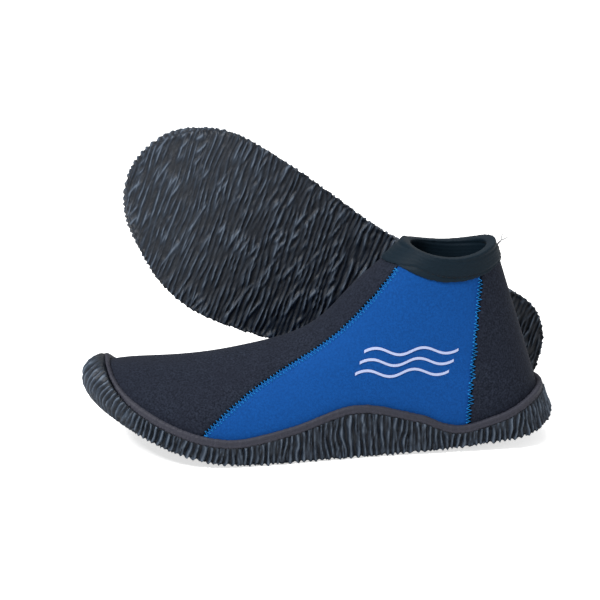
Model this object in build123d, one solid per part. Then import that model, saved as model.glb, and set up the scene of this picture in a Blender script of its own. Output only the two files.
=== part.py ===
from build123d import *
import math
import os

# A pair of low neoprene boots, in millimetres. Each boot is first modelled as a left boot in its own
# frame: toes towards -X, outer side towards -Y, +Z up, with z = 0 at the flat of its sole. The left boot
# stands, and the right one, its mirror image, lies on its outer side behind it with its toes up.

# Sole, as the rubber's outer surface
sole_length = 296.0
ball_half_width = 57.0
waist_half_width = 43.5
heel_half_width = 41.0
ball_from_toe = 85.0  # from the tip of the toe back to the widest place
toe_round = 72.0  # how far back from the tip the toe's outline goes on rounding
toe_swing = 3.0  # the toe's outline leans to the inner side, and the ball's to the outer side
ball_swing = 4.0

# Rocker of the sole: a flat, then a rise to the toe and a smaller one to the heel
flat_to_toe = 98.0  # length of the curved part in front of the flat
flat_to_heel = 106.0
toe_spring = 35.0
heel_rise = 11.0
heel_corner = 12.0  # the heel's lower back corner is rounded over this length

# Layers, from the ground up and from the inside out
tread_thickness = 4.5
midsole_thickness = 3.0
sock_thickness = 3.0
insole_thickness = 3.0
insole_gap = 0.5
neoprene = 4.0
wall_thickness = 4.5
rand_thickness = 3.0
rand_height = 4.0
binding_thickness = 1.2
binding_height = 15.0
seam_thickness = 0.7
seam_width = 4.0
stitch_thickness = 0.5
stitch_width = 1.2
bartack_width = 5.0
bartack_thickness = 0.8
print_thickness = 0.45

# Rubber wall: height of its top edge above the sole at five places
toe_wall_height = 21.0
ball_wall_height = 16.0
arch_wall_height = 32.5
waist_wall_height = 14.5
heel_wall_height = 25.0

# Upper, as the neoprene's outer surface
toe_nose_length = 14.0
toe_box_height = 53.0
vamp_height = 61.0  # two thirds of the way from the toe box to the foot of the instep
instep_height = 73.0
instep_run = 58.0  # from the foot of the instep back to the front of the collar
collar_height = 126.0  # at the front and back of the collar
collar_dip = 6.5  # how much lower the rim is at the sides
collar_length = 55.5
collar_half_width = 27.0
ankle_half_width = 33.0
heel_lean = 0.31  # how far the back of the heel comes forward for each unit of height
heel_knee = 31.0  # the height where it starts to
heel_flare = 0.35  # how far it goes back again for each unit below that

# The lying boot: its rolls and turns in degrees, and its place beside the standing one
lying_toe_up = 25.8
lying_turn = -5.7
lying_roll = -5.5
lying_shift = 14.9  # its middle towards the standing boot's heel
lying_gap = 1.5  # clear space between the two soles

# Places derived from the sizes above
toe_x = -sole_length / 2
heel_x = sole_length / 2
ball_x = toe_x + ball_from_toe
heel_centre_x = heel_x - heel_half_width
waist_x = (ball_x + heel_centre_x) / 2
flat_front_x = toe_x + flat_to_toe
flat_back_x = heel_x - flat_to_heel
upper_toe_x = toe_x + wall_thickness + 2.0
heel_knee_x = heel_x - wall_thickness - 6.5
collar_back_x = heel_knee_x - heel_lean * (collar_height - heel_knee)
collar_front_x = collar_back_x - collar_length
collar_mid_x = (collar_front_x + collar_back_x) / 2
instep_x = collar_front_x - instep_run
side_margin = 20.0  # how far the cutting prisms reach past the boot
bartack_height = binding_height - 4.0

# Slices of the upper, in parallel planes that fall towards the heel so that they cross the vamp steeply
slice_tilt = math.radians(22)
slice_count = 14
points_per_side = 15


def smooth(stations, x):
    """The value at x of a smooth curve through (x, value) stations, straight beyond its ends."""
    last = len(stations) - 1
    slopes = []
    for i in range(last + 1):
        a, b = stations[max(i - 1, 0)], stations[min(i + 1, last)]
        slopes.append((b[1] - a[1]) / (b[0] - a[0]))
    if x <= stations[0][0]:
        return stations[0][1] + slopes[0] * (x - stations[0][0])
    if x >= stations[last][0]:
        return stations[last][1] + slopes[last] * (x - stations[last][0])
    i = max(k for k in range(last) if stations[k][0] <= x)
    (x0, v0), (x1, v1) = stations[i], stations[i + 1]
    span = x1 - x0
    t = (x - x0) / span
    return (
        v0 * (1 + 2 * t) * (1 - t) ** 2
        + span * slopes[i] * t * (1 - t) ** 2
        + v1 * t * t * (3 - 2 * t)
        + span * slopes[i + 1] * t * t * (t - 1)
    )


def ease(t):
    """A smooth step from 0 to 1 as t goes from 0 to 1."""
    t = min(max(t, 0.0), 1.0)
    return t * t * (3 - 2 * t)


def rounded(distance, reach):
    """The share of full width at a distance inside a rounded end that is reach long."""
    return math.sqrt(max(0.0, 1 - (1 - min(max(distance / reach, 0.0), 1.0)) ** 2))


def root(function, low, high):
    """Where a function that rises from below zero to above it crosses zero."""
    for _ in range(40):
        middle = (low + high) / 2
        if function(middle) < 0:
            low = middle
        else:
            high = middle
    return (low + high) / 2


def sole_rise(x):
    """Height of the sole's underside above the ground."""
    toe_share = max(0.0, (flat_front_x - x) / flat_to_toe)
    heel_share = max(0.0, (x - flat_back_x) / flat_to_heel)
    corner_share = max(0.0, (x - heel_x + heel_corner) / heel_corner)
    return toe_spring * toe_share**1.8 + heel_rise * heel_share**1.7 + heel_corner / 2 * corner_share**2


def wall_top(x):
    """Height of the rubber's top edge, rand included: over the toe, low at the ball, a hump at the arch."""
    heights = [
        (toe_x + 14.5, toe_wall_height + 12.0),
        (toe_x + 17.5, toe_wall_height + 4.0),
        (toe_x + 22.0, toe_wall_height),
        (toe_x + 42.0, (toe_wall_height + ball_wall_height) / 2 - 1.5),
        (ball_x + 5.0, ball_wall_height),
        ((ball_x + waist_x) / 2, (ball_wall_height + arch_wall_height) / 2 - 2.0),
        (waist_x - 3.0, arch_wall_height),
        ((waist_x + heel_centre_x) / 2 - 5.0, (arch_wall_height + waist_wall_height) / 2),
        (heel_centre_x - 27.0, waist_wall_height),
        (heel_centre_x + 2.0, (2 * waist_wall_height + heel_wall_height) / 3),
        (heel_x - 12.0, heel_wall_height),
        (heel_x + 4.0, heel_wall_height + 1.0),
    ]
    return sole_rise(x) + smooth(heights, x)


def upper_top(x):
    """Height of the upper's ridge: a rounded nose, a nearly flat toe box, then the instep's slope."""
    start = upper_toe_x + toe_nose_length
    run = instep_x - start
    slope = (collar_height - instep_height) / instep_run
    ridge = [
        (start, toe_box_height + 2.0),
        (start + run * 0.18, toe_box_height - 1.0),
        (start + run * 0.35, toe_box_height),
        (start + run * 0.7, vamp_height),
        (instep_x, instep_height),
        (instep_x + instep_run / 2, instep_height + slope * instep_run / 2 + 1.0),
        (collar_front_x, collar_height),
        (collar_front_x + 30.0, collar_height + 36.0),
    ]
    tip = nose_height()
    height = smooth(ridge, x) if x > start else toe_box_height + 2.0
    return tip + (height - tip) * rounded(x - upper_toe_x, toe_nose_length)


def nose_height():
    """Height of the foremost point of the upper."""
    return sole_rise(upper_toe_x) + tread_thickness + 3.0


def widest_height(x):
    """Height up to which the sides stand upright."""
    return sole_rise(x) + ease((upper_toe_x + 60.0 - x) / 60.0) * 7.5 + 6.0 * ease((x - upper_toe_x) / 60.0)


def heel_back(z):
    """How far back the heel reaches at a height."""
    below = max(0.0, min(heel_knee - z, heel_knee))
    return heel_knee_x + heel_flare * below - heel_lean * max(0.0, z - heel_knee)


def foot_half_width(x):
    """Half of the upper's width in plan where its sides stand upright."""
    widths = [
        (toe_x, ball_half_width - 1.0),
        (ball_x, ball_half_width),
        (waist_x, waist_half_width + 1.0),
        (waist_x + 30.0, waist_half_width - 1.5),
        (heel_centre_x, heel_half_width),
        (heel_x, heel_half_width),
    ]
    width = smooth(widths, x) - wall_thickness
    toe_end = rounded(x - upper_toe_x, toe_round - wall_thickness)
    heel_end = rounded(heel_back(0) - x, heel_half_width - wall_thickness + 2.0)
    return width * toe_end * heel_end


def foot_centre(x):
    """How far the middle of the foot's width is from the boot's centre plane."""
    swings = [
        (toe_x, toe_swing),
        (toe_x + 32.0, toe_swing),
        (ball_x, -ball_swing + 1.0),
        (waist_x, -ball_swing),
        (heel_centre_x, 0.0),
        (heel_x, 0.0),
    ]
    return smooth(swings, x)


def shaft_half_width(z):
    """Half of the ankle's width at a height."""
    widths = [
        (30.0, ankle_half_width + 4.0),
        (collar_height * 0.55, ankle_half_width),
        (collar_height - binding_height, collar_half_width),
        (collar_height, collar_half_width),
    ]
    return smooth(widths, z) if z < collar_height else collar_half_width


def ridge_start(z):
    """Where the upper's ridge reaches a height."""
    if z <= nose_height():
        return upper_toe_x
    return root(lambda x: upper_top(x) - z, upper_toe_x, collar_back_x + 60.0)


def upper_sides(x, z):
    """The y of the upper's outer side and of its inner side at a place in its side view."""
    back = heel_back(z)
    at = x
    if x > ball_x:
        at = ball_x + (x - ball_x) * (heel_back(0) - ball_x) / (back - ball_x)
    upright = widest_height(x)
    arch = 1.0
    if z > upright:
        arch = math.sqrt(max(0.0, 1 - ((z - upright) / (upper_top(x) - upright)) ** 2))
    foot = foot_half_width(at) * arch
    front = ridge_start(z)
    middle, reach = (front + back) / 2, (back - front) / 2
    shaft = shaft_half_width(z) * math.sqrt(max(0.0, 1 - ((x - middle) / reach) ** 2))
    up = ease((z - 30.0) / (collar_height - 46.0))
    half = foot * (1 - up) + shaft * up
    centre = foot_centre(x) * (1 - up)
    return centre - half, centre + half


def slice_point(along, level):
    """The x and z of a point that lies along a slice at a level."""
    return (
        along * math.cos(slice_tilt) + level * math.sin(slice_tilt),
        level * math.cos(slice_tilt) - along * math.sin(slice_tilt),
    )


def slice_ends(level):
    """Where a slice meets the front and the back of the upper, and how steeply."""
    lean = math.sin(slice_tilt), math.cos(slice_tilt)
    nearest = (upper_toe_x - level * lean[0]) / lean[1]

    def above_front(along):
        x, z = slice_point(along, level)
        return upper_top(x) - z

    def past_back(along):
        x, z = slice_point(along, level)
        return x - heel_back(z)

    front = nearest if above_front(nearest) >= 0 else root(above_front, nearest, nearest + 300.0)
    back = root(past_back, front, front + 500.0)
    x, _ = slice_point(front, level)
    slope = (upper_top(x + 0.5) - upper_top(x)) / 0.5
    crossing = (lean[1] * slope + lean[0]) / math.hypot(1, slope)
    front_stretch = 1 / max(crossing, 0.5) if front > nearest else 1 / lean[1]
    back_stretch = math.hypot(1, heel_lean) / (lean[1] - lean[0] * heel_lean)
    return front, back, front_stretch, back_stretch


def slice_wire(level, offset):
    """The closed outline of one slice, grown by an offset, or shrunk where that is negative."""
    front, back, front_stretch, back_stretch = slice_ends(level)
    outer_side, inner_side = [], []
    for k in range(1, points_per_side):
        share = (1 - math.cos(math.pi * k / points_per_side)) / 2
        x, z = slice_point(front + (back - front) * share, level)
        outer, inner = upper_sides(x, z)
        outer_side.append((share, outer))
        inner_side.append((share, inner))
    start = front - offset * front_stretch
    length = back + offset * back_stretch - start
    centres = [(o[1] + i[1]) / 2 for o, i in zip(outer_side, inner_side)]
    widest = max((i[1] - o[1]) / 2 for o, i in zip(outer_side, inner_side))
    growth = (widest + offset) / widest
    loop = []

    def add(share, y):
        x, z = slice_point(start + length * share, level)
        loop.append((x, y, z))

    add(1.0, centres[-1])
    for (share, y), centre in reversed(list(zip(outer_side, centres))):
        add(share, centre + (y - centre) * growth)
    add(0.0, centres[0])
    for (share, y), centre in zip(inner_side, centres):
        add(share, centre + (y - centre) * growth)
    turns = [k / len(loop) for k in range(len(loop) + 1)]
    return Wire([Edge.make_spline([Vector(*p) for p in loop], periodic=True, parameters=turns)])


def layer(offset):
    """The upper's whole outer form, from below the sole to above the collar, grown by an offset."""
    low_x = toe_x + flat_to_toe / 2
    low = low_x * math.sin(slice_tilt) + sole_rise(low_x) * math.cos(slice_tilt) - 12.0
    high = collar_back_x * math.sin(slice_tilt) + (collar_height + 8.0) * math.cos(slice_tilt)
    levels = [low + (high - low) * k / (slice_count - 1) for k in range(slice_count)]
    return Solid.make_loft([slice_wire(level, offset) for level in levels])


def prism(edges):
    """A side-view profile in X and Z, closed by its edges, drawn out across the whole boot."""
    face = Face(Wire(edges))
    width = 2 * (ball_half_width + side_margin)
    return extrude(face.moved(Location((0, width / 2, 0))), amount=width, dir=(0, -1, 0))


def curve(function, low, high, count):
    """A spline along a height function between two places."""
    xs = [low + (high - low) * k / (count - 1) for k in range(count)]
    return Spline([(x, 0, function(x)) for x in xs])


def corners(*points):
    """Straight edges through side-view points."""
    return Polyline([(x, 0, z) for x, z in points]).edges()


def above_sole(height):
    """Everything higher than the sole's underside plus a height."""
    left, right = toe_x - side_margin, heel_x + side_margin
    top = collar_height + side_margin
    toe_curve = curve(lambda x: sole_rise(x) + height, left, flat_front_x, 9)
    flat = Line((flat_front_x, 0, height), (flat_back_x, 0, height))
    heel_curve = curve(lambda x: sole_rise(x) + height, flat_back_x, right, 7)
    closing = corners((right, sole_rise(right) + height), (right, top), (left, top), (left, sole_rise(left) + height))
    return prism([toe_curve, flat, heel_curve, *closing])


def under_wall_top(drop):
    """Everything lower than the rubber's top edge, less a drop, and in front of it at the toe."""
    start = toe_x + 14.5
    left, right, bottom = toe_x - side_margin, heel_x + side_margin, -side_margin
    top = wall_top(start) + side_margin
    edge = curve(lambda x: wall_top(x) - drop, start, heel_x + 4.0, 26)
    back = wall_top(heel_x + 4.0) - drop
    front = wall_top(start) - drop
    closing = corners(
        (heel_x + 4.0, back), (right, back), (right, bottom), (left, bottom), (left, top), (start - 3.0, top), (start, front)
    )
    return prism([edge, *closing])


def under_rim(drop):
    """Everything lower than the collar's rim, less a drop."""
    left, right, bottom = toe_x - side_margin, heel_x + side_margin, -2 * side_margin
    rim = ThreePointArc(
        (collar_front_x, 0, collar_height - drop),
        (collar_mid_x, 0, collar_height - collar_dip - drop),
        (collar_back_x, 0, collar_height - drop),
    )
    level = collar_height + 3.0 - drop
    closing = corners(
        (collar_back_x, collar_height - drop),
        (collar_back_x + 8.0, level),
        (right, level),
        (right, bottom),
        (left, bottom),
        (left, level),
        (collar_front_x - 8.0, level),
        (collar_front_x, collar_height - drop),
    )
    return prism([rim, *closing])


def front_seam_points(shift):
    """The seam between the vamp and the quarters: up from the wall at the ball to the collar."""
    foot = wall_top(ball_x - 12.0)
    return [
        (ball_x - 34.0 + shift, foot - 26.0),
        (ball_x - 12.0 + shift, foot + 1.0),
        (ball_x + 27.0 + shift, foot + 29.0),
        (instep_x + 10.0 + shift, instep_height - 3.5),
        (collar_front_x - 7.0 + shift, collar_height - binding_height),
        (collar_front_x + 20.0 + shift, collar_height + 18.0),
    ]


def rear_seam_points(shift):
    """The seam between the quarters and the heel panel, nearly upright."""
    return [
        (heel_centre_x - 20.0 + shift, -side_margin),
        (heel_centre_x - 18.5 + shift, heel_wall_height - 4.0),
        (heel_centre_x - 15.0 + shift, collar_height / 2),
        (heel_centre_x - 10.5 + shift, collar_height - 20.0),
        (heel_centre_x - 10.0 + shift, collar_height + 18.0),
    ]


def beyond_seam(points, edge_x):
    """Everything on one side of a seam, out to an upright plane at edge_x."""
    seam = Spline([(x, 0, z) for x, z in points])
    return prism([seam, *corners(points[-1], (edge_x, points[-1][1]), (edge_x, points[0][1]), points[0])])


def in_front_of_seam(shift=0.0):
    return beyond_seam(front_seam_points(shift), toe_x - 2 * side_margin)


def behind_seam(shift=0.0):
    return beyond_seam(rear_seam_points(shift), heel_x + 2 * side_margin)


def wave_mark():
    """The print on the outer quarter: three plain wave lines, drawn through from the outer side."""
    length, step, swell, stroke = 58.0, 6.5, 2.0, 1.5
    left = collar_mid_x - 62.0
    bars = []
    for row in range(3):
        z = collar_height / 2 - 12.0 + row * step
        upper_edge, lower_edge = [], []
        for k in range(13):
            x = left + row * 3.0 + length * k / 12
            y = z + swell * math.sin(math.pi * k / 3)
            upper_edge.append((x, 0, y + stroke / 2))
            lower_edge.append((x, 0, y - stroke / 2))
        edges = [Spline(upper_edge), Line(upper_edge[-1], lower_edge[-1])]
        edges += [Spline(lower_edge[::-1]), Line(lower_edge[0], upper_edge[0])]
        bars.append(extrude(Face(Wire(edges)), amount=ball_half_width + side_margin, dir=(0, -1, 0)))
    return bars


def side_half(sign):
    """A block over the outer half (-1) or the inner half (1) of the boot."""
    half = Box(2 * sole_length, 400, 600, align=(Align.CENTER, Align.MIN if sign > 0 else Align.MAX, Align.CENTER))
    return half


def solid_of(shape):
    """The shape's solids as one compound, without slivers."""
    solids = [s for s in shape.solids() if s.volume > 0.5]
    return solids[0] if len(solids) == 1 else Compound(solids)


def boot():
    """Every piece of a left boot, by name, in the boot's own frame."""
    outside = layer(0)
    lining = layer(-neoprene)
    rubber = layer(wall_thickness)
    pieces = {}

    shoe_sole = rubber & above_sole(0) & under_wall_top(rand_height)
    pieces["outsole"] = shoe_sole - (outside & above_sole(tread_thickness))
    under_foot = tread_thickness + midsole_thickness
    pieces["midsole"] = (outside & above_sole(tread_thickness)) - above_sole(under_foot)
    pieces["rand"] = (layer(rand_thickness) - outside) & (under_wall_top(0) - under_wall_top(rand_height))

    shell = (outside - lining) & above_sole(under_foot) & under_rim(binding_thickness)
    vamp_side, heel_side = in_front_of_seam(), behind_seam()
    pieces["vamp_panel"] = shell & vamp_side
    pieces["heel_panel"] = shell & heel_side
    quarters = shell - vamp_side - heel_side
    pieces["outer_quarter"] = quarters & side_half(-1)
    pieces["inner_quarter"] = quarters & side_half(1)

    under_sock = under_foot + sock_thickness
    pieces["bottom_sock"] = (lining & above_sole(under_foot)) - above_sole(under_sock)
    insole_top = above_sole(under_sock + insole_thickness)
    pieces["insole"] = (layer(-neoprene - insole_gap) & above_sole(under_sock)) - insole_top

    binding_outside = layer(binding_thickness)
    tape = (binding_outside - layer(-neoprene - binding_thickness)) & (under_rim(0) - under_rim(binding_height))
    pieces["collar_binding"] = tape - (shell & (under_rim(0) - under_rim(binding_height)))
    stitch_from = binding_height - 3.0
    stitch_band = under_rim(stitch_from) - under_rim(stitch_from + stitch_width)
    pieces["binding_stitch"] = (layer(binding_thickness + stitch_thickness) - binding_outside) & stitch_band

    tack = Box(40, bartack_width, bartack_height, align=(Align.MIN, Align.CENTER, Align.MAX))
    tack = tack.moved(Location((collar_mid_x, 0, collar_height - 2.0)))
    tack_skin = layer(binding_thickness + stitch_thickness + bartack_thickness)
    pieces["binding_bartack"] = (tack_skin - layer(binding_thickness + stitch_thickness)) & tack

    seam_skin = (layer(seam_thickness) - outside) & under_rim(binding_height)
    seam_skin = seam_skin - under_wall_top(0)
    half_band = seam_width / 2
    front_band = in_front_of_seam(half_band * 1.3) - in_front_of_seam(-half_band * 1.3)
    rear_band = behind_seam(-half_band) - behind_seam(half_band)
    for side, sign in (("outer", -1), ("inner", 1)):
        pieces[side + "_front_seam"] = seam_skin & front_band & side_half(sign)
        pieces[side + "_rear_seam"] = seam_skin & rear_band & side_half(sign)

    ink = layer(print_thickness) - outside
    pieces["side_print"] = Compound([s for bar in wave_mark() for s in (ink & bar).solids()])
    return {name: solid_of(shape) for name, shape in pieces.items()}


def lying(pieces, standing):
    """The mirror image of a left boot's pieces, laid on its outer side behind a standing one."""
    turn = Rot(Y=lying_toe_up) * Rot(Z=lying_turn) * Rot(X=lying_roll - 90.0)
    turned = {name: turn * mirror(shape, about=Plane.XZ) for name, shape in pieces.items()}
    low = turned["outsole"].bounding_box().min
    rear = standing["outsole"] & Pos(X=sole_length / 2) * Box(sole_length, sole_length, sole_length)
    place = Pos(lying_shift, rear.bounding_box().max.Y + lying_gap - low.Y, -low.Z)
    return {name: place * shape for name, shape in turned.items()}


def main():
    os.makedirs("parts", exist_ok=True)
    left = boot()
    right = lying(left, left)
    boxes = [shape.bounding_box() for shape in (*left.values(), *right.values())]
    middle_x = (min(b.min.X for b in boxes) + max(b.max.X for b in boxes)) / 2
    middle_y = (min(b.min.Y for b in boxes) + max(b.max.Y for b in boxes)) / 2
    for side, pieces in (("left", left), ("right", right)):
        for name, shape in pieces.items():
            export_step(Pos(-middle_x, -middle_y, 0) * shape, f"parts/{side}_{name}.step")


if __name__ == "__main__":
    main()
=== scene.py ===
import bpy
import math
from mathutils import Matrix, Vector, noise
from mathutils.bvhtree import BVHTree
from mathutils.kdtree import KDTree


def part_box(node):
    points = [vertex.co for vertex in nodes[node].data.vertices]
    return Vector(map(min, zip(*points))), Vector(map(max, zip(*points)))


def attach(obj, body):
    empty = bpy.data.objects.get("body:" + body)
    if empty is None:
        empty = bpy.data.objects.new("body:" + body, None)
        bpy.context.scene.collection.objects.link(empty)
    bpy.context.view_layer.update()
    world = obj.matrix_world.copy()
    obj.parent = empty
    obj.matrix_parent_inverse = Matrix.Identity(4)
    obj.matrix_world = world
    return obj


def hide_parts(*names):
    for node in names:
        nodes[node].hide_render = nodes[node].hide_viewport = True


# Neoprene boots: the left one stands, the right one lies on its side behind it.
# Every visible piece is shaped once for the left boot, then copied and mirrored for the right one.

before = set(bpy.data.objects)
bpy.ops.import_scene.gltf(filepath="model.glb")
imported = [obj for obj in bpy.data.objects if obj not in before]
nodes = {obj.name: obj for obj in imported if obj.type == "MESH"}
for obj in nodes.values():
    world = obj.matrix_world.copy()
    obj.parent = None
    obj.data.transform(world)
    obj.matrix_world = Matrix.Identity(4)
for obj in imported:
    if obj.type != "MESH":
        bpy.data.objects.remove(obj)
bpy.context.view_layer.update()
mm = 0.001

bootPose = {
    "toeUp": 25.8,   # how the right boot lies, in degrees
    "turn": -5.7,
    "roll": -5.5,
}

toeCorner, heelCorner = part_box("left_outsole")
tackLow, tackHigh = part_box("left_binding_bartack")
middleY = (tackLow[1] + tackHigh[1]) / 2     # the left boot's centre plane
toeX, heelX = toeCorner[0], heelCorner[0]


def deselectAll():
    if bpy.context.mode != "OBJECT":
        bpy.ops.object.mode_set(mode="OBJECT")
    bpy.ops.object.select_all(action="DESELECT")


def makeActive(obj):
    deselectAll()
    obj.select_set(True)
    bpy.context.view_layer.objects.active = obj


def linkPiece(name, mesh):
    piece = bpy.data.objects.new(name, mesh)
    bpy.context.scene.collection.objects.link(piece)
    return piece


def copyNode(node, name):
    # a merged copy of a CAD solid, ready for shaping
    mesh = nodes[node].data.copy()
    mesh.materials.clear()
    piece = linkPiece(name, mesh)
    makeActive(piece)
    bpy.ops.object.mode_set(mode="EDIT")
    bpy.ops.mesh.select_all(action="SELECT")
    bpy.ops.mesh.remove_doubles(threshold=0.00002)
    bpy.ops.object.mode_set(mode="OBJECT")
    return piece


def applyModifier(piece, kind, **settings):
    makeActive(piece)
    modifier = piece.modifiers.new(kind.lower(), kind)
    for key, value in settings.items():
        setattr(modifier, key, value)
    bpy.ops.object.modifier_apply(modifier=modifier.name)


def remesh(piece, voxel, smoothing=8, factor=0.5):
    applyModifier(piece, "REMESH", mode="VOXEL", voxel_size=voxel, adaptivity=0.0)
    if smoothing:
        applyModifier(piece, "SMOOTH", factor=factor, iterations=smoothing)


def shadeSmooth(piece):
    makeActive(piece)
    bpy.ops.object.shade_smooth()


def shape(piece, move):
    # moves every point by what move(place, normal) gives, in metres
    mesh = piece.data
    normals = [v.normal.copy() for v in mesh.vertices]
    for v, n in zip(mesh.vertices, normals):
        v.co += move(v.co, n)
    mesh.update()


def ramp(value, low, high):
    t = min(max((value - low) / (high - low), 0.0), 1.0)
    return t * t * (3 - 2 * t)


def findRightMatrix():
    # the mirror image of the left boot, turned as it lies and set on its own CAD solids
    turn = (Matrix.Rotation(math.radians(bootPose["toeUp"]), 4, "Y")
            @ Matrix.Rotation(math.radians(bootPose["turn"]), 4, "Z")
            @ Matrix.Rotation(math.radians(bootPose["roll"] - 90.0), 4, "X")
            @ Matrix.Scale(-1.0, 4, Vector((0, 1, 0))))
    low = Vector((9, 9, 9))
    for v in nodes["left_outsole"].data.vertices:
        place = turn @ v.co
        low = Vector(map(min, low, place))
    return Matrix.Translation(Vector(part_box("right_outsole")[0]) - low) @ turn


toRight = findRightMatrix()


def finishPair(piece, part, material):
    # gives the left piece its material, hides its CAD solid and attaches it to its boot, then makes the right
    # one from it the same way
    for side in ("left", "right"):
        target = piece
        if side == "right":
            target = linkPiece("right" + piece.name[4:], piece.data.copy())
            target.data.transform(toRight)
            target.data.flip_normals()
        target.data.materials.clear()
        target.data.materials.append(material)
        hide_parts(f"{side}_{part}")
        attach(target, side + "_boot")
    return piece


# Materials

def newGroup(name, inputs, outputs):
    group = bpy.data.node_groups.new(name, "ShaderNodeTree")
    for label, kind, value in inputs:
        socket = group.interface.new_socket(label, in_out="INPUT", socket_type=kind)
        socket.default_value = value
    for label, kind in outputs:
        group.interface.new_socket(label, in_out="OUTPUT", socket_type=kind)
    return group, group.nodes.new("NodeGroupInput"), group.nodes.new("NodeGroupOutput")


def addNode(tree, kind, settings=None, **inputs):
    node = tree.nodes.new(kind)
    for key, value in (settings or {}).items():
        setattr(node, key, value)
    for key, value in inputs.items():
        socket = node.inputs[int(key[1:])] if key[0] == "i" and key[1:].isdigit() else node.inputs[key]
        if isinstance(value, bpy.types.NodeSocket):
            tree.links.new(value, socket)
        else:
            socket.default_value = value
    return node


def makeKnitGroup():
    # fine jersey face of the neoprene: rows of tiny loops, slightly uneven
    group, start, end = newGroup(
        "knitFace",
        [("Scale", "NodeSocketFloat", 1400.0), ("Unevenness", "NodeSocketFloat", 0.5)],
        [("Height", "NodeSocketFloat"), ("Fleck", "NodeSocketFloat"), ("Patch", "NodeSocketFloat")])
    place = addNode(group, "ShaderNodeTexCoord").outputs["Object"]
    loops = addNode(group, "ShaderNodeTexVoronoi", {"feature": "F1"}, Vector=place,
                    Scale=start.outputs["Scale"])
    grain = addNode(group, "ShaderNodeTexNoise", None, Vector=place, Scale=900.0, Detail=3.0)
    cloud = addNode(group, "ShaderNodeTexNoise", None, Vector=place, Scale=38.0, Detail=2.0)
    lift = addNode(group, "ShaderNodeMath", {"operation": "SUBTRACT"}, i0=1.0, i1=loops.outputs["Distance"])
    rough = addNode(group, "ShaderNodeMath", {"operation": "MULTIPLY"},
                    i0=grain.outputs["Fac"], i1=start.outputs["Unevenness"])
    total = addNode(group, "ShaderNodeMath", {"operation": "ADD"}, i0=lift.outputs[0], i1=rough.outputs[0])
    group.links.new(total.outputs[0], end.inputs["Height"])
    group.links.new(grain.outputs["Fac"], end.inputs["Fleck"])
    group.links.new(cloud.outputs["Fac"], end.inputs["Patch"])
    return group


def makeRubberGroup():
    # moulded rubber: fine wrinkles that run along the ridges, and the ridge height that the material turns
    # into painted shade in the valleys and a painted highlight on the crests
    group, start, end = newGroup(
        "rubberSkin",
        [("Wrinkle Scale", "NodeSocketFloat", 620.0)],
        [("Height", "NodeSocketFloat"), ("Wrinkle", "NodeSocketFloat"), ("Crest", "NodeSocketFloat")])
    run = addNode(group, "ShaderNodeAttribute", {"attribute_name": "ridgeRun"}).outputs["Vector"]
    drawn = addNode(group, "ShaderNodeMapping", None, Vector=run, Scale=(1.0, 0.16, 1.0))
    wrinkle = addNode(group, "ShaderNodeTexNoise", None, Vector=drawn.outputs["Vector"],
                      Scale=start.outputs["Wrinkle Scale"], Detail=3.0, Roughness=0.6)
    place = addNode(group, "ShaderNodeTexCoord").outputs["Object"]
    grain = addNode(group, "ShaderNodeTexNoise", None, Vector=place, Scale=900.0, Detail=3.0)
    fine = addNode(group, "ShaderNodeMath", {"operation": "MULTIPLY"}, i0=grain.outputs["Fac"], i1=0.3)
    total = addNode(group, "ShaderNodeMath", {"operation": "ADD"},
                    i0=wrinkle.outputs["Fac"], i1=fine.outputs[0])
    crest = addNode(group, "ShaderNodeAttribute", {"attribute_name": "crest"})
    group.links.new(total.outputs[0], end.inputs["Height"])
    group.links.new(wrinkle.outputs["Fac"], end.inputs["Wrinkle"])
    group.links.new(crest.outputs["Fac"], end.inputs["Crest"])
    return group


knitFace = makeKnitGroup()
rubberSkin = makeRubberGroup()


def newMaterial(name):
    material = bpy.data.materials.new(name)
    material.use_nodes = True
    tree = material.node_tree
    return material, tree, tree.nodes["Principled BSDF"]


def placeGroup(tree, group, **values):
    node = tree.nodes.new("ShaderNodeGroup")
    node.node_tree = group
    for key, value in values.items():
        node.inputs[key].default_value = value
    return node


def mixColour(tree, factor, first, second):
    node = tree.nodes.new("ShaderNodeMix")
    node.data_type = "RGBA"
    for socket, value in ((node.inputs[0], factor), (node.inputs[6], first), (node.inputs[7], second)):
        if isinstance(value, bpy.types.NodeSocket):
            tree.links.new(value, socket)
        else:
            socket.default_value = value
    return node.outputs[2]


def addBump(tree, shader, height, strength, distance):
    bump = addNode(tree, "ShaderNodeBump", None, Height=height, Strength=strength, Distance=distance)
    tree.links.new(bump.outputs["Normal"], shader.inputs["Normal"])
    return bump


def neopreneMaterial(name, base, fleck, patch, sheen):
    material, tree, shader = newMaterial(name)
    knit = placeGroup(tree, knitFace, Scale=1400.0, Unevenness=0.6)
    spread = addNode(tree, "ShaderNodeMapRange", None, Value=knit.outputs["Fleck"],
                     **{"From Min": 0.35, "From Max": 0.72})
    speckled = mixColour(tree, spread.outputs["Result"], (*base, 1), (*fleck, 1))
    clouds = addNode(tree, "ShaderNodeMapRange", None, Value=knit.outputs["Patch"],
                     **{"From Min": 0.3, "From Max": 0.75, "To Max": 0.5})
    face = mixColour(tree, clouds.outputs["Result"], speckled, (*patch, 1))
    inside = addNode(tree, "ShaderNodeAttribute", {"attribute_name": "inside"})
    colour = mixColour(tree, inside.outputs["Fac"], face, (0.004, 0.005, 0.007, 1))   # the lining is black
    tree.links.new(colour, shader.inputs["Base Color"])
    shader.inputs["Roughness"].default_value = 0.85
    shader.inputs["Specular IOR Level"].default_value = 0.14
    shader.inputs["Sheen Weight"].default_value = sheen
    shader.inputs["Sheen Roughness"].default_value = 0.45
    addBump(tree, shader, knit.outputs["Height"], 0.35, 0.0003)
    return material


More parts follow.
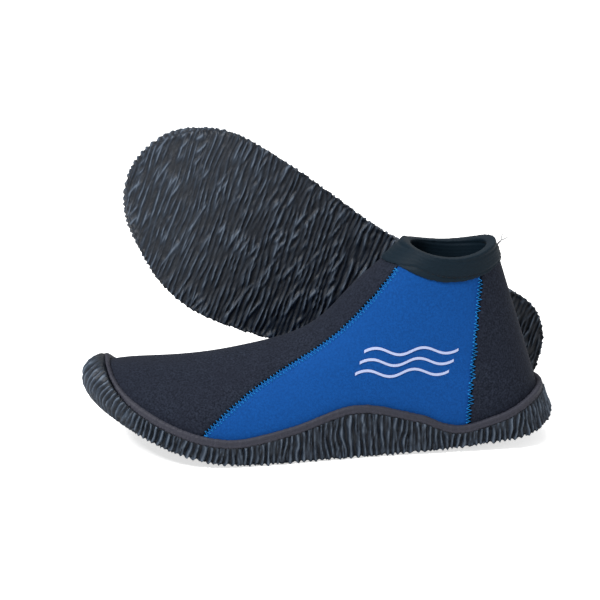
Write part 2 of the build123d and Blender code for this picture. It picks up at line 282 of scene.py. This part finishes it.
def rubberMaterial(name, valleyShade, side, crest, roughness, wrinkle=0.55):
    material, tree, shader = newMaterial(name)
    skin = placeGroup(tree, rubberSkin)
    # painted shade: the valleys take the dark colour, blending to the side tone up the ribs
    slope = addNode(tree, "ShaderNodeMapRange", None, Value=skin.outputs["Crest"],
                    **{"From Min": 0.10, "From Max": 0.55})
    lower = mixColour(tree, slope.outputs["Result"], (*valleyShade, 1), (*side, 1))
    # painted highlight: the crests take the pale colour
    top = addNode(tree, "ShaderNodeMapRange", None, Value=skin.outputs["Crest"],
                  **{"From Min": 0.58, "From Max": 0.95})
    # painted highlight along the wrinkle tops, from the same noise as the bump
    wrinkleHighlight = addNode(tree, "ShaderNodeMapRange", None, Value=skin.outputs["Wrinkle"],
                     **{"From Min": 0.54, "From Max": 0.74, "To Max": 0.22})
    paintedHighlightMask = addNode(tree, "ShaderNodeMath", {"operation": "MAXIMUM"},
                     i0=top.outputs["Result"], i1=wrinkleHighlight.outputs["Result"])
    colour = mixColour(tree, paintedHighlightMask.outputs[0], lower, (*crest, 1))
    tree.links.new(colour, shader.inputs["Base Color"])
    shader.inputs["Roughness"].default_value = roughness
    shader.inputs["Specular IOR Level"].default_value = 0.30
    addBump(tree, shader, skin.outputs["Height"], wrinkle, 0.0009)
    return material


def threadMaterial(name, base, highlight, scale=900.0):
    material, tree, shader = newMaterial(name)
    place = addNode(tree, "ShaderNodeTexCoord").outputs["Object"]
    strand = addNode(tree, "ShaderNodeTexNoise", None, Vector=place, Scale=scale, Detail=2.0)
    colour = mixColour(tree, strand.outputs["Fac"], (*base, 1), (*highlight, 1))
    tree.links.new(colour, shader.inputs["Base Color"])
    shader.inputs["Roughness"].default_value = 0.7
    shader.inputs["Specular IOR Level"].default_value = 0.2
    shader.inputs["Sheen Weight"].default_value = 0.03
    addBump(tree, shader, strand.outputs["Fac"], 0.4, 0.0002)
    return material


def tapeMaterial(name, base, highlight):
    material, tree, shader = newMaterial(name)
    place = addNode(tree, "ShaderNodeTexCoord").outputs["Object"]
    stretched = addNode(tree, "ShaderNodeMapping", None, Vector=place, Scale=(1.0, 1.0, 5.0))
    weave = addNode(tree, "ShaderNodeTexNoise", None, Vector=stretched.outputs["Vector"],
                    Scale=600.0, Detail=4.0)
    colour = mixColour(tree, weave.outputs["Fac"], (*base, 1), (*highlight, 1))
    tree.links.new(colour, shader.inputs["Base Color"])
    shader.inputs["Roughness"].default_value = 0.6
    shader.inputs["Specular IOR Level"].default_value = 0.12
    shader.inputs["Sheen Weight"].default_value = 0.01
    addBump(tree, shader, weave.outputs["Fac"], 0.35, 0.0002)
    return material


blackNeoprene = neopreneMaterial(
    "blackNeoprene", (0.003, 0.005, 0.011), (0.020, 0.026, 0.043), (0.008, 0.010, 0.019), 0.015)
blueNeoprene = neopreneMaterial(
    "blueNeoprene", (0.001, 0.046, 0.20), (0.003, 0.070, 0.29), (0.001, 0.052, 0.225), 0.01)
# rubber colours: painted shade for the valleys, the ribs' own mid tone, and a painted highlight for the
# crests and wrinkle tops
soleRubber = rubberMaterial(
    "soleRubber", (0.0025, 0.0050, 0.010), (0.015, 0.024, 0.039), (0.088, 0.115, 0.155), 0.5)
# the rand has no ridge heights, so only its wrinkle tops take the painted highlight colour
randRubber = rubberMaterial(
    "randRubber", (0.026, 0.027, 0.040), (0.026, 0.027, 0.040), (0.060, 0.061, 0.084), 0.6, 0.45)
blueThread = threadMaterial("blueThread", (0.003, 0.15, 0.46), (0.010, 0.26, 0.66))
darkThread = threadMaterial("darkThread", (0.002, 0.003, 0.006), (0.006, 0.010, 0.015))
bindingTape = tapeMaterial("bindingTape", (0.0008, 0.0045, 0.0090), (0.0060, 0.0170, 0.0280))
insoleKnit = neopreneMaterial(
    "insoleKnit", (0.006, 0.006, 0.009), (0.016, 0.016, 0.021), (0.009, 0.009, 0.012), 0.02)
# the foam's third colour is a painted highlight on its wrinkle tops
soleFoam = rubberMaterial(
    "soleFoam", (0.008, 0.008, 0.011), (0.010, 0.010, 0.013), (0.016, 0.016, 0.02), 0.8, 0.2)
palePrint = threadMaterial("palePrint", (0.34, 0.39, 0.60), (0.46, 0.51, 0.72), scale=1500.0)

for side in ("left", "right"):
    for part, material in (("midsole", soleFoam), ("bottom_sock", blackNeoprene), ("insole", insoleKnit),
                           ("side_print", palePrint)):
        solid = nodes[f"{side}_{part}"]
        solid.data.materials.clear()
        solid.data.materials.append(material)
print("materials ready")


# Rubber sole: transverse crinkled ridges underneath, which turn up the wall as ribs

soleShape = {
    "voxel": 1.62 * mm,
    "ribPitch": 3.7,        # along the wall, mm
    "ridgePitch": 3.3,      # along the underside, mm
    "wallDepth": 2.9 * mm,
    "treadDepth": 2.6 * mm,
    "edgeNotch": 2.0 * mm,  # how far the ribs cut up into the lower edge
    "toeSwell": 2.4 * mm,   # the toe cap stands up over the front of the vamp
    "spineFront": 62.0,     # the sole's middle line starts this far behind the toe, mm
    "spineBack": 42.0,      # and ends this far in front of the heel
    "toeSpring": 35.0,      # rise of the toe over the curved part in front of the flat, mm
    "toeCurve": 98.0,
}


def aroundSole(place):
    # distance along the sole's edge, and the direction outwards from its middle line
    x = (place.x - toeX) / mm
    y = (place.y - middleY) / mm
    length = (heelX - toeX) / mm
    front, back = soleShape["spineFront"], length - soleShape["spineBack"]
    nearest = min(max(x, front), back)
    outward = Vector((x - nearest, y, 0.0))
    if outward.length > 1e-6:
        outward.normalize()
    reach = 54.0 if x < front else 41.0
    bend = math.atan2(x - nearest, abs(y) + 1e-6)
    share = max(0.0, 1 - x / soleShape["toeCurve"])
    rise = soleShape["toeSpring"] * share ** 1.8
    slope = 1.8 * soleShape["toeSpring"] / soleShape["toeCurve"] * share ** 0.8
    lean = slope * (place.z / mm - rise) * abs(outward.y)   # ribs stand square to the curved edge
    return nearest + bend * reach - lean, outward


def nearestTree(points):
    tree = KDTree(len(points))
    for k, point in enumerate(points):
        tree.insert(point, k)
    tree.balance()
    return tree


def ridge(turns):
    # a narrow crest between wide hollows
    return 1.0 - abs(math.sin(math.pi * turns))


def setAttribute(piece, name, kind, values):
    field = piece.data.attributes.new(name, kind, "POINT")
    key = "vector" if kind == "FLOAT_VECTOR" else "value"
    field.data.foreach_set(key, values)


def treadRelief(x, y):
    # short thin crests that run nearly straight across, like bark
    wander = noise.noise(Vector((x / 26, y / 60, 3.1)))
    fine = noise.noise(Vector((x / 7, y / 19, 7.7)))
    main = ridge((x + 0.10 * y) / soleShape["ridgePitch"] + 1.3 * wander + 0.45 * fine)
    cross = ridge((x - 0.22 * y) / (soleShape["ridgePitch"] * 1.35) - 0.9 * wander + 0.5 * fine)
    length = ramp(noise.noise(Vector((x / 4.5, y / 13, 21.0))), -0.30, 0.25)
    other = ramp(noise.noise(Vector((x / 5.5, y / 16, 47.0))), -0.05, 0.35)
    crest = max(main * (0.30 + 0.70 * length), cross * other)
    return crest + 0.20 * noise.noise(Vector((x / 1.6, y / 6, 0.4)))


def wallRelief(along, place):
    x, y, z = place / mm
    wander = noise.noise(Vector((x / 17, y / 17, z / 30)))
    fine = noise.noise(Vector((x / 5, y / 5, z / 8 + 5.0)))
    ribs = ridge(along / soleShape["ribPitch"] + 0.9 * wander + 0.32 * fine)
    split = ridge(along / (soleShape["ribPitch"] * 0.62) + 1.1 * wander - 0.2 * fine)
    share = ramp(noise.noise(Vector((x / 7, y / 7, z / 12 + 11.0))), 0.0, 0.3)
    crest = max(ribs ** 0.8 * (1 - 0.3 * share), split * 0.85 * share)
    return crest + 0.18 * noise.noise(Vector((x / 2.0, y / 2.0, z / 4.0)))


def toeLift(place, normal):
    # swells the toe cap up and forwards; the rand goes with it
    _, outward = aroundSole(place)
    x = (place.x - toeX) / mm
    onWall = ramp(normal.dot(outward), -0.2, 0.5) * (1 - ramp(-normal.z, 0.45, 0.80))
    share = (1 - ramp(x, 8.0, 34.0)) * onWall
    return Vector((-0.35, 0.0, 0.94)) * soleShape["toeSwell"] * share


def makeSole():
    sole = copyNode("left_outsole", "leftSole")
    remesh(sole, soleShape["voxel"], smoothing=2)
    # the skin that shows gets twice the detail
    makeActive(sole)
    mesh = sole.data
    shown = []
    for face in mesh.polygons:
        _, outward = aroundSole(face.center)
        shown.append(face.normal.z < -0.4 or face.normal.dot(outward) > 0.35)
    for v in mesh.vertices:
        v.select = False
    for e in mesh.edges:
        e.select = False
    for face, pick in zip(mesh.polygons, shown):
        face.select = pick
    bpy.ops.object.mode_set(mode="EDIT")
    bpy.ops.mesh.select_mode(type="FACE")
    bpy.ops.mesh.subdivide(number_cuts=1, smoothness=0.0)
    bpy.ops.object.mode_set(mode="OBJECT")
    applyModifier(sole, "SMOOTH", factor=0.5, iterations=1)

    edgePoints, lipPoints = [], [v.co for v in nodes["left_rand"].data.vertices]
    for v in mesh.vertices:
        _, outward = aroundSole(v.co)
        if v.normal.dot(outward) > 0.35 and -0.76 < v.normal.z < -0.3:
            edgePoints.append(v.co.copy())
    edgeTree, lipTree = nearestTree(edgePoints), nearestTree(lipPoints)
    crests, runs = [], []

    def carve(place, normal):
        along, outward = aroundSole(place)
        facing = normal.dot(outward)
        under = ramp(-normal.z, 0.45, 0.80)
        wall = ramp(facing, 0.15, 0.6) * (1 - under)
        x, y = (place.x - toeX) / mm, (place.y - middleY) / mm
        move = Vector((0, 0, 0))
        crest = 0.0
        if under > 0.02:
            byEdge = 1 - ramp(edgeTree.find(place)[2], 0.6 * mm, 3.2 * mm)
            relief = min(max(treadRelief(x, y), 0.0), 1.0)
            ribs = 1 - min(wallRelief(along, place), 1.0)
            fade = 0.45 + 0.55 * ramp(x, 20.0, 120.0)
            tread = (1 - relief) * soleShape["treadDepth"] * fade * (1 - byEdge)
            move.z += (tread + ribs * soleShape["edgeNotch"] * byEdge * ramp(x, 8.0, 45.0)) * under
            crest += relief * under
        if wall > 0.02:
            relief = min(max(wallRelief(along, place), 0.0), 1.0)
            belowLip = 0.25 + 0.75 * ramp(lipTree.find(place)[2], 0.2 * mm, 3.0 * mm)
            byEdge = 0.70 + 0.30 * ramp(edgeTree.find(place)[2], 0.5 * mm, 5.0 * mm)
            atToe = 0.62 + 0.38 * ramp(x, 6.0, 40.0)
            move -= outward * (1 - relief) * soleShape["wallDepth"] * wall * belowLip * byEdge * atToe
            move.z += (1 - relief) * soleShape["edgeNotch"] * ramp(-normal.z, 0.1, 0.5) * wall * atToe
            crest += relief * wall
        move += toeLift(place, normal)
        crests.append(crest)
        if under > wall:
            runs.extend((place.x, place.y, 0.0))
        else:
            runs.extend((along * mm, place.z, 1.0))
        return move

    shape(sole, carve)
    # the ridge height, which the rubber material turns into painted shade in the valleys and a painted
    # highlight on the crests
    setAttribute(sole, "crest", "FLOAT", crests)
    setAttribute(sole, "ridgeRun", "FLOAT_VECTOR", runs)
    shadeSmooth(sole)
    print("sole faces", len(mesh.polygons))
    return finishPair(sole, "outsole", soleRubber)


makeSole()
print("soles ready")


# Rand: the smooth lip on top of the ribbed wall

randShape = {
    "voxel": 0.8 * mm,
    "smoothing": 4,
    "swell": 0.55 * mm,     # the lip laps a little over the neoprene and the ribs
    "wrinkle": 0.22 * mm,
    "groove": 0.65 * mm,    # a line along the lip that parts it into two beads
    "grooveAt": 0.52,
}


def beadKey(place):
    # a short length of the lip, on one side of the boot
    along, _ = aroundSole(place)
    return round(along / 2), place.y > middleY


def makeRand():
    rand = copyNode("left_rand", "leftRand")
    remesh(rand, randShape["voxel"], smoothing=randShape["smoothing"])

    tops, bottoms = {}, {}
    for v in rand.data.vertices:
        key = beadKey(v.co)
        tops[key] = max(tops.get(key, -1.0), v.co.z)
        bottoms[key] = min(bottoms.get(key, 1.0), v.co.z)

    def swell(place, normal):
        along, _ = aroundSole(place)
        key = beadKey(place)
        share = (place.z - bottoms[key]) / max(tops[key] - bottoms[key], 0.5 * mm)
        groove = math.exp(-((share - randShape["grooveAt"]) / 0.13) ** 2) * max(0.0, 1 - abs(normal.z))
        wrinkle = noise.noise(Vector((along / 2.2, place.z / mm / 5, 2.0)))
        push = randShape["swell"] + randShape["wrinkle"] * wrinkle - randShape["groove"] * groove
        return normal * push + toeLift(place, normal)

    shape(rand, swell)
    runs = []
    for v in rand.data.vertices:
        along, _ = aroundSole(v.co)
        runs.extend((along * mm, v.co.z, 2.0))
    setAttribute(rand, "ridgeRun", "FLOAT_VECTOR", runs)
    shadeSmooth(rand)
    return finishPair(rand, "rand", randRubber)


makeRand()
print("rands ready")


# Neoprene panels, each with softly rounded edges

panelShape = {
    "voxel": 1.3 * mm,
    "smoothing": 12,
    "puff": 0.35 * mm,
}


def makePanel(node, name, material):
    panel = copyNode(node, name)
    remesh(panel, panelShape["voxel"], smoothing=panelShape["smoothing"])

    def puff(place, normal):
        swell = noise.noise(Vector((place.x * 22, place.y * 22, place.z * 22)))
        return normal * panelShape["puff"] * swell

    shape(panel, puff)
    inside = []
    for v in panel.data.vertices:
        core = Vector((min(max(v.co.x, toeX + 50 * mm), tackLow[0] - 40 * mm), middleY, min(v.co.z, 30 * mm)))
        inside.append(ramp(-v.normal.dot((v.co - core).normalized()), 0.0, 0.15))
    setAttribute(panel, "inside", "FLOAT", inside)
    shadeSmooth(panel)
    return finishPair(panel, node[5:], material)


panels = [
    makePanel("left_vamp_panel", "leftVamp", blackNeoprene),
    makePanel("left_heel_panel", "leftHeelPanel", blackNeoprene),
    makePanel("left_outer_quarter", "leftOuterQuarter", blueNeoprene),
    makePanel("left_inner_quarter", "leftInnerQuarter", blueNeoprene),
]
print("panels ready")


# Collar: folded tape with fine ribs, a stitched lower edge and loose thread tails

collarShape = {
    "voxel": 0.7 * mm,
    "dip": 6.5 * mm,        # how much lower the rim is at the sides
    # grooves: place below the rim, width and depth, mm
    "lines": [(2.6, 0.7, 0.45), (5.4, 0.5, 0.12), (7.6, 0.5, 0.14), (9.8, 0.5, 0.12), (12.3, 0.8, 0.50)],
}


collarLow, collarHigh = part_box("left_collar_binding")


def belowRim(place):
    back = collarHigh[0] - 1.5 * mm
    half = 27.7 * mm
    across = min(abs((place.x - (back - half)) / half), 1.0)
    return collarHigh[2] - collarShape["dip"] * (1 - across ** 2) - place.z


def makeBinding():
    binding = copyNode("left_collar_binding", "leftBinding")
    remesh(binding, collarShape["voxel"], smoothing=12)

    def groove(place, normal):
        depth = belowRim(place) / mm
        cut = sum(deep * math.exp(-((depth - at) / wide) ** 2) for at, wide, deep in collarShape["lines"])
        return normal * -cut * mm

    shape(binding, groove)
    shadeSmooth(binding)
    return finishPair(binding, "collar_binding", bindingTape)


binding = makeBinding()
print("collars ready")


# Thread: zigzag over the panel seams

def surfaceTree(pieces):
    points, faces = [], []
    for piece in pieces:
        start = len(points)
        points += [v.co.copy() for v in piece.data.vertices]
        faces += [[start + i for i in face.vertices] for face in piece.data.polygons]
    return BVHTree.FromPolygons(points, faces)


def seamPath(node, count):
    # the middle line of a CAD seam strip, from its lowest point up
    mesh = nodes[node].data
    low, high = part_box(node)
    path = []
    for k in range(count):
        z = low[2] + (high[2] - low[2]) * (0.012 + 0.976 * k / (count - 1))
        hits = []
        for edge in mesh.edges:
            a, b = (mesh.vertices[i].co for i in edge.vertices)
            if (a.z - z) * (b.z - z) < 0:
                hits.append(a.lerp(b, (z - a.z) / (b.z - a.z)))
        if hits:
            left = min(h.x for h in hits)
            right = max(h.x for h in hits)
            side = sum(h.y for h in hits) / len(hits)
            path.append(Vector(((left + right) / 2, side, z)))
    return path


def evenPath(path, step):
    # points at an even distance along a path
    places, along = [path[0].copy()], 0.0
    for a, b in zip(path, path[1:]):
        gap = (b - a).length
        while along + gap >= step:
            t = (step - along) / gap
            a = a.lerp(b, t)
            places.append(a.copy())
            gap = (b - a).length
            along = 0.0
        along += gap
    return places


def threadTube(name, lines, radius):
    curve = bpy.data.curves.new(name, "CURVE")
    curve.dimensions = "3D"
    curve.bevel_depth = radius
    curve.bevel_resolution = 1
    curve.resolution_u = 2
    for line in lines:
        spline = curve.splines.new("POLY")
        spline.points.add(len(line) - 1)
        for point, place in zip(spline.points, line):
            point.co = (*place, 1.0)
    curve.use_fill_caps = True
    holder = bpy.data.objects.new(name, curve)
    bpy.context.scene.collection.objects.link(holder)
    mesh = bpy.data.meshes.new_from_object(holder.evaluated_get(bpy.context.evaluated_depsgraph_get()))
    bpy.data.objects.remove(holder)
    piece = linkPiece(name, mesh)
    shadeSmooth(piece)
    return piece


seamShape = {
    "pitch": 1.15 * mm,
    "width": 4.0 * mm,
    "thread": 0.40 * mm,
}


def makeSeam(part, name, tree):
    path = evenPath(seamPath("left_" + part, 60), seamShape["pitch"])
    line = []
    for k, place in enumerate(path):
        ahead = path[min(k + 1, len(path) - 1)] - path[max(k - 1, 0)]
        spot, normal, _, _ = tree.find_nearest(place)
        across = ahead.cross(normal).normalized()
        swing = seamShape["width"] / 2 * (1 if k % 2 else -1)
        target = place + across * swing
        spot, normal, _, _ = tree.find_nearest(target)
        outward = normal if normal.y * (place.y - middleY) > 0 else -normal
        line.append(spot + outward * seamShape["thread"] * 0.8)
    seam = threadTube(name, [line], seamShape["thread"])
    return finishPair(seam, part, blueThread)


upperSkin = surfaceTree(panels)
for part, name in (("outer_front_seam", "leftOuterFrontSeam"), ("inner_front_seam", "leftInnerFrontSeam"),
                   ("outer_rear_seam", "leftOuterRearSeam"), ("inner_rear_seam", "leftInnerRearSeam")):
    makeSeam(part, name, upperSkin)
print("seams ready")

# Collar thread: a row of stitches near the tape's lower edge, and a bar tack with loose tails behind

collarThread = {
    "below": 12.4 * mm,     # the row's distance below the rim
    "stitches": 56,
    "length": 0.68,         # share of each step that shows
    "thread": 0.34 * mm,
    "tackWidth": 4.2 * mm,
    "tackRows": 16,
    "tackThread": 0.28 * mm,
    "tails": [(9.5, 0.30, 0.35), (8.0, -0.35, 0.60), (7.0, 0.05, 0.95)],   # length in mm, sideways, upwards
    "tailThread": 0.22 * mm,
}


def makeCollarStitch(tree):
    centre = Vector(((collarLow[0] + collarHigh[0]) / 2, middleY, 0))
    lines = []
    for k in range(collarThread["stitches"]):
        line = []
        for part in range(4):
            turn = 2 * math.pi * (k + collarThread["length"] * part / 3) / collarThread["stitches"]
            place = centre + Vector((29 * mm * math.cos(turn), 28 * mm * math.sin(turn), 0))
            place.z = belowRim(place) - collarThread["below"]
            for _ in range(3):
                spot, normal, _, _ = tree.find_nearest(place)
                place = Vector((spot.x, spot.y, spot.z + belowRim(spot) - collarThread["below"]))
            side = Vector((spot.x - centre.x, spot.y - centre.y, 0)).normalized()
            line.append(place + side * collarThread["thread"] * (0.9 if 0 < part < 3 else 0.1))
        lines.append(line)
    stitch = threadTube("leftCollarStitch", lines, collarThread["thread"])
    return finishPair(stitch, "binding_stitch", darkThread)


def makeBarTack(tree):
    rows = collarThread["tackRows"]
    line = []
    for k in range(rows + 1):
        height = tackLow[2] + (tackHigh[2] - tackLow[2]) * k / rows
        swing = collarThread["tackWidth"] / 2 * (1 if k % 2 else -1)
        spot, normal, _, _ = tree.find_nearest(Vector((tackHigh[0], middleY + swing, height)))
        line.append(spot + Vector((1, 0, 0)) * collarThread["tackThread"])
    tack = threadTube("leftBarTack", [line], collarThread["tackThread"])
    tails = []
    for length, sideways, upwards in collarThread["tails"]:
        tail = []
        for part in range(7):
            t = part / 6 * length * mm
            curl = 0.9 * mm * math.sin(part * 0.8 + sideways * 9)
            tail.append(line[-1] + Vector((0.6 * t + curl, sideways * t, upwards * t)))
        tails.append(tail)
    loose = threadTube("leftLooseTails", tails, collarThread["tailThread"])
    makeActive(tack)
    loose.select_set(True)
    bpy.ops.object.join()
    return finishPair(tack, "binding_bartack", darkThread)


tapeSkin = surfaceTree([binding])
makeCollarStitch(tapeSkin)
makeBarTack(tapeSkin)
print("collar threads ready")


# Stage, light and camera

def makeStage():
    deselectAll()
    bpy.ops.mesh.primitive_plane_add(size=12.0, location=(0, 0, 0))
    floor = bpy.context.object
    floor.name = "floor"
    material, tree, shader = newMaterial("paperFloor")
    shader.inputs["Base Color"].default_value = (0.9, 0.9, 0.9, 1)
    shader.inputs["Roughness"].default_value = 0.9
    shader.inputs["Specular IOR Level"].default_value = 0.1
    path = tree.nodes.new("ShaderNodeLightPath")
    glow = addNode(tree, "ShaderNodeMapRange", None, Value=path.outputs["Is Camera Ray"], **{"To Max": 0.66})
    shader.inputs["Emission Color"].default_value = (1, 1, 1, 1)
    # keeps the paper white far away
    tree.links.new(glow.outputs["Result"], shader.inputs["Emission Strength"])
    floor.data.materials.append(material)


def addLight(name, place, target, size, power):
    light = bpy.data.lights.new(name, "AREA")
    light.shape = "SQUARE"
    light.size = size
    light.energy = power
    lamp = bpy.data.objects.new(name, light)
    bpy.context.scene.collection.objects.link(lamp)
    lamp.location = place
    lamp.rotation_euler = (Vector(target) - Vector(place)).to_track_quat("-Z", "Y").to_euler()
    return lamp


def makeWorld():
    # a white surround that lights the boots less than it shows
    world = bpy.data.worlds.new("studio")
    world.use_nodes = True
    tree = world.node_tree
    surround = tree.nodes["Background"]
    surround.inputs["Color"].default_value = (1.0, 1.0, 1.0, 1)
    path = tree.nodes.new("ShaderNodeLightPath")
    strength = addNode(tree, "ShaderNodeMapRange", None, Value=path.outputs["Is Camera Ray"],
                       **{"To Min": 0.42, "To Max": 1.05})
    tree.links.new(strength.outputs["Result"], surround.inputs["Strength"])
    bpy.context.scene.world = world


cameraView = {
    "azimuth": -5.0,
    "elevation": 15.0,
    "distance": 1.547,
    "lens": 150.0,
    "forward": 0.0122,      # the target's place in front of the sole's middle
    "height": 0.0885,
}


def makeCamera():
    middleX = (toeX + heelX) / 2
    target = Vector((middleX - cameraView["forward"], middleY, cameraView["height"]))
    a, e = math.radians(cameraView["azimuth"]), math.radians(cameraView["elevation"])
    back = Vector((math.sin(a) * math.cos(e), -math.cos(a) * math.cos(e), math.sin(e)))
    data = bpy.data.cameras.new("camera")
    data.lens = cameraView["lens"]
    data.sensor_width = 36.0
    data.clip_end = 50.0
    camera = bpy.data.objects.new("camera", data)
    bpy.context.scene.collection.objects.link(camera)
    camera.location = target + back * cameraView["distance"]
    camera.rotation_euler = (-back).to_track_quat("-Z", "Y").to_euler()
    bpy.context.scene.camera = camera


makeStage()
makeWorld()
# name, place, target, size and power
addLight("key", (-1.2, -0.9, 1.7), (0, 0, 0.05), 0.6, 50.0)
addLight("fill", (1.9, -0.9, 0.7), (0.05, 0.05, 0.08), 1.0, 9.0)
addLight("top", (0.3, 0.6, 2.2), (0, 0, 0), 1.2, 18.0)
bpy.context.scene.view_settings.view_transform = "Standard"
makeCamera()
print("stage ready")
